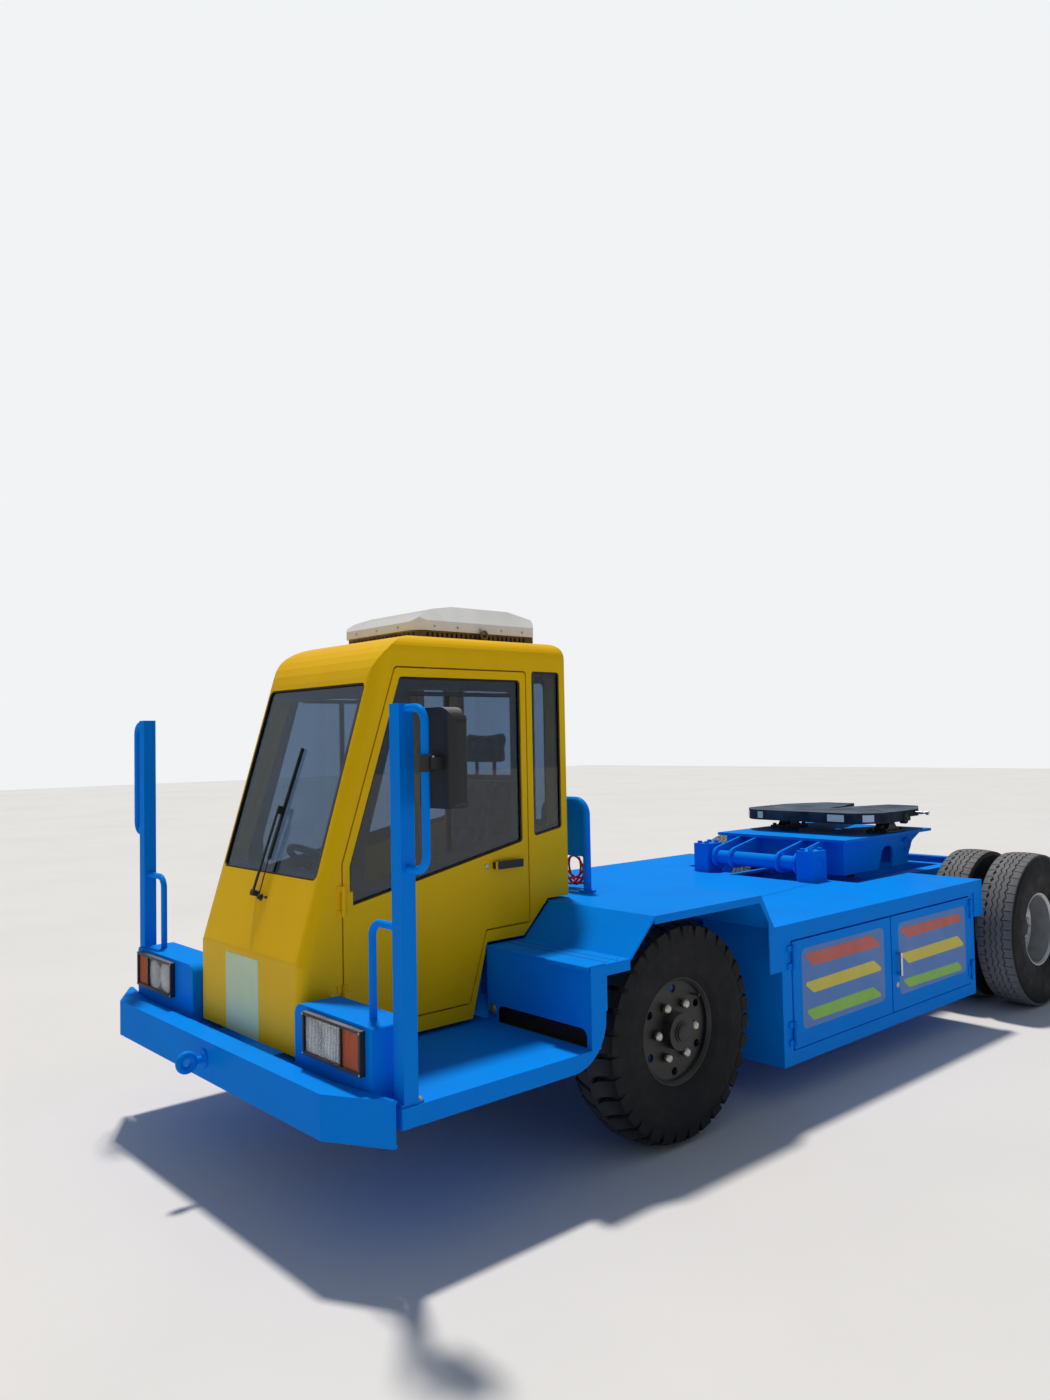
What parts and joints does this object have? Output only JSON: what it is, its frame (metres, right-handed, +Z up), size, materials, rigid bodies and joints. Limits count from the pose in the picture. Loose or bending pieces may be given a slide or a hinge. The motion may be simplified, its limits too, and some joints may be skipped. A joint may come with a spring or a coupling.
{
  "type": "cab-forward towing tractor with lifting coupling plate",
  "caption": "Low electric towing tractor: narrow cab between side platforms, battery boxes, flat deck, lifting fifth-wheel coupling, steered front and twin rear wheels.",
  "frame": {"origin": "on the ground, in the middle of the overall length and width", "axes": "+X to the vehicle's left, +Y to its rear, +Z up"},
  "size_m": [2.2817, 5.4393, 2.103],
  "materials": {
    "blue_paint": "satin blue paint",
    "yellow_paint": "satin yellow paint",
    "black_steel": "satin black paint",
    "dark_plate": "dark grey paint with grease",
    "machined_steel": "machined",
    "silver_paint": "silver paint",
    "tyre": "matte",
    "hose": "red, semi-gloss",
    "white_plastic": "gloss",
    "black_plastic": "matte",
    "clear_lens": "gloss",
    "orange_lens": "gloss",
    "red_lens": "gloss",
    "glass": "clear",
    "seat_fabric": "woven",
    "battery_case": "matte"
  },
  "bodies": {
    "chassis": {"chassis_frame": "blue_paint", "bumper": "blue_paint", "left_platform": "blue_paint", "right_platform": "blue_paint", "deck": "blue_paint", "left_battery_box": "blue_paint", "right_battery_box": "blue_paint", "batteries": "battery_case", "cab_shell": "yellow_paint", "cab_glass": "glass", "roof_unit_base": "yellow_paint", "roof_unit_cover": "white_plastic", "seat": "seat_fabric", "dashboard": "black_plastic", "wiper": "black_plastic", "left_post": "blue_paint", "right_post": "blue_paint", "side_mirror": "black_plastic", "lamp_frames": "black_plastic", "headlights": "clear_lens", "indicators": "orange_lens", "hose_stand": "blue_paint", "air_hose": "hose", "bearing_blocks": "blue_paint", "front_axle": "black_steel", "rear_axle": "black_steel", "drive_motor": "silver_paint", "tail_lamps": "red_lens"},
    "left_knuckle": {"left_knuckle": "machined_steel"},
    "left_front_wheel": {"left_front_wheel": "black_steel", "left_front_tyre": "tyre"},
    "left_rear_wheels": {"left_rear_wheels": "silver_paint", "left_rear_tyres": "tyre"},
    "left_cab_door": {"left_cab_door": "yellow_paint", "left_door_glass": "glass"},
    "left_front_box_door": {"left_front_box_door": "blue_paint"},
    "left_rear_box_door": {"left_rear_box_door": "blue_paint"},
    "right_knuckle": {"right_knuckle": "machined_steel"},
    "right_front_wheel": {"right_front_wheel": "black_steel", "right_front_tyre": "tyre"},
    "right_rear_wheels": {"right_rear_wheels": "silver_paint", "right_rear_tyres": "tyre"},
    "right_cab_door": {"right_cab_door": "yellow_paint", "right_door_glass": "glass"},
    "right_front_box_door": {"right_front_box_door": "blue_paint"},
    "right_rear_box_door": {"right_rear_box_door": "blue_paint"},
    "lift_table": {"lift_table": "blue_paint", "plate_pedestals": "black_steel"},
    "coupling_plate": {"coupling_plate": "dark_plate"},
    "lift_cylinders": {"lift_cylinders": "machined_steel"},
    "lift_rods": {"lift_rods": "machined_steel"}
  },
  "joints": [
    {"name": "left_steer", "type": "hinge", "parent": "chassis", "child": "left_knuckle", "pos_m": [0.741, -1.12765, 0.428], "axis": [0, 0, 1], "range_deg": [-20, 20]},
    {"name": "left_front_wheel_spin", "type": "hinge", "parent": "left_knuckle", "child": "left_front_wheel", "pos_m": [0.836, -1.12765, 0.428], "axis": [1, 0, 0], "continuous": true},
    {"name": "left_rear_wheels_spin", "type": "hinge", "parent": "chassis", "child": "left_rear_wheels", "pos_m": [0.846, 1.88435, 0.428], "axis": [1, 0, 0], "continuous": true},
    {"name": "left_cab_door_hinge", "type": "hinge", "parent": "chassis", "child": "left_cab_door", "pos_m": [0.419, -2.30565, 1], "axis": [0, 0, -1], "range_deg": [0, 75]},
    {"name": "left_front_box_door_hinge", "type": "hinge", "parent": "chassis", "child": "left_front_box_door", "pos_m": [0.9857, -0.44765, 0.45], "axis": [0, 0, -1], "range_deg": [0, 100]},
    {"name": "left_rear_box_door_hinge", "type": "hinge", "parent": "chassis", "child": "left_rear_box_door", "pos_m": [0.9857, 1.20435, 0.45], "axis": [0, 0, 1], "range_deg": [0, 100]},
    {"name": "right_steer", "type": "hinge", "parent": "chassis", "child": "right_knuckle", "pos_m": [-0.789, -1.12765, 0.428], "axis": [0, 0, 1], "range_deg": [-20, 20]},
    {"name": "right_front_wheel_spin", "type": "hinge", "parent": "right_knuckle", "child": "right_front_wheel", "pos_m": [-0.884, -1.12765, 0.428], "axis": [1, 0, 0], "continuous": true},
    {"name": "right_rear_wheels_spin", "type": "hinge", "parent": "chassis", "child": "right_rear_wheels", "pos_m": [-0.894, 1.88435, 0.428], "axis": [1, 0, 0], "continuous": true},
    {"name": "right_cab_door_hinge", "type": "hinge", "parent": "chassis", "child": "right_cab_door", "pos_m": [-0.383, -2.30565, 1], "axis": [0, 0, 1], "range_deg": [0, 75]},
    {"name": "right_front_box_door_hinge", "type": "hinge", "parent": "chassis", "child": "right_front_box_door", "pos_m": [-1.0337, -0.44765, 0.45], "axis": [0, 0, 1], "range_deg": [0, 100]},
    {"name": "right_rear_box_door_hinge", "type": "hinge", "parent": "chassis", "child": "right_rear_box_door", "pos_m": [-1.0337, 1.20435, 0.45], "axis": [0, 0, -1], "range_deg": [0, 100]},
    {"name": "table_lift", "type": "hinge", "parent": "chassis", "child": "lift_table", "pos_m": [-0.024, 0.72835, 0.846], "axis": [1, 0, 0], "range_deg": [0, 12]},
    {"name": "plate_pitch", "type": "hinge", "parent": "lift_table", "child": "coupling_plate", "pos_m": [-0.024, 1.56435, 1.025], "axis": [1, 0, 0], "range_deg": [-8, 8]},
    {"name": "cylinder_tilt", "type": "hinge", "parent": "chassis", "child": "lift_cylinders", "pos_m": [-0.024, 1.40435, 0.43], "axis": [1, 0, 0], "range_deg": [0, 5.4]},
    {"name": "rod_slide", "type": "slide", "parent": "lift_cylinders", "child": "lift_rods", "axis": [0, 0.2414, 0.9704], "range_m": [0, 0.158]}
  ],
  "couplings": [
    {"joint": "right_steer", "follows": "left_steer", "ratio": 1},
    {"joint": "cylinder_tilt", "follows": "table_lift", "ratio": 0.43759},
    {"joint": "rod_slide", "follows": "table_lift", "m_per_rad": 0.74725}
  ]
}
